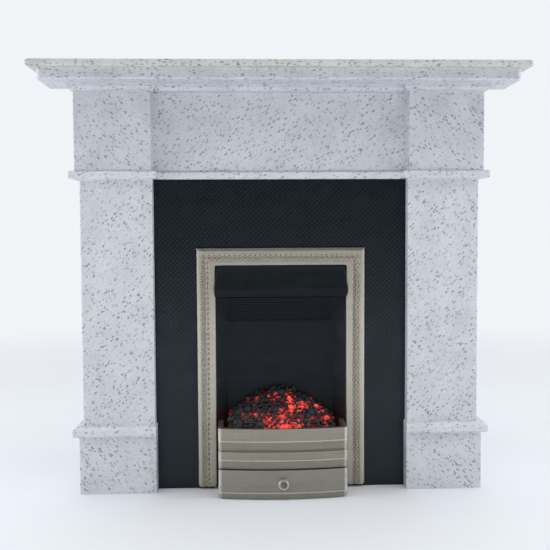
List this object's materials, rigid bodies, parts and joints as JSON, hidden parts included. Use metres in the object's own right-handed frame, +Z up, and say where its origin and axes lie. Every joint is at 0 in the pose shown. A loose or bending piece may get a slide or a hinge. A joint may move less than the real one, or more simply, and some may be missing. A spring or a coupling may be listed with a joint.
{
  "type": "dolls house fireplace",
  "caption": "Miniature fireplace mantel with shelf, pilasters, black slip panel, metal trim, hood, bow-fronted basket of lit coals and a sliding ash drawer.",
  "frame": {"origin": "centre of the footprint of the overall box, on the floor", "axes": "+X to the viewer's right along the shelf, -Y out of the fire opening towards the room, +Z up"},
  "size_m": [0.115, 0.0196, 0.1019],
  "materials": {
    "slab_marble": "layer-lined speckled satin",
    "marble": "speckled satin, light cool grey",
    "panel_black": "matt bluish black with a fine weave",
    "firebox_black": "matt black, layer-lined",
    "nickel": "silk champagne nickel",
    "coal": "rough charcoal",
    "ember": "translucent, lit from inside",
    "board_green": "solder mask",
    "led_lens": "clear orange lens",
    "resistor_body": "matt",
    "lead_red": "satin",
    "lead_black": "satin",
    "rear_black": "matt, layer-lined",
    "cell_steel": "brushed",
    "contact_metal": "bright",
    "switch_steel": "satin",
    "screw_steel": "zinc"
  },
  "bodies": {
    "surround": {"shelf_slab": "slab_marble", "cornice_fascia": "marble", "left_bed_mould": "marble", "centre_bed_mould": "marble", "right_bed_mould": "marble", "frieze_panel": "marble", "left_capital_block": "marble", "right_capital_block": "marble", "left_astragal": "marble", "centre_astragal": "marble", "right_astragal": "marble", "left_pilaster_shaft": "marble", "right_pilaster_shaft": "marble", "left_plinth_cap": "marble", "right_plinth_cap": "marble", "left_plinth_block": "marble", "right_plinth_block": "marble", "rear_top_rail": "marble", "back_panel": "panel_black", "trim_frame": "nickel", "fire_hood": "firebox_black", "firebox_left_cheek": "firebox_black", "firebox_right_cheek": "firebox_black", "fireback": "firebox_black", "fire_basket": "nickel", "coal_bed": "coal", "ember_bed": "ember", "led_board": "board_green", "left_led": "led_lens", "right_led": "led_lens", "led_resistor": "resistor_body", "lead_positive": "lead_red", "lead_negative": "lead_black", "lead_switch": "lead_red", "battery_holder": "rear_black", "coin_cell": "cell_steel", "contact_minus": "contact_metal", "contact_plus": "contact_metal", "switch_body": "switch_steel", "rear_cover": "rear_black", "cover_screws": "screw_steel"},
    "ash_drawer_body": {"ash_drawer": "nickel", "ash_drawer_knob": "nickel"},
    "switch_slider_body": {"switch_slider": "rear_black"},
    "battery_door_body": {"battery_door": "rear_black"}
  },
  "joints": [
    {"name": "ash_drawer_slide", "type": "slide", "parent": "surround", "child": "ash_drawer_body", "axis": [0, -1, 0], "range_m": [0, 0.008]},
    {"name": "switch_slide", "type": "slide", "parent": "surround", "child": "switch_slider_body", "axis": [1, 0, 0], "range_m": [0, 0.0021]},
    {"name": "battery_door_lift", "type": "slide", "parent": "surround", "child": "battery_door_body", "axis": [0, 1, 0], "range_m": [0, 0.008]}
  ]
}
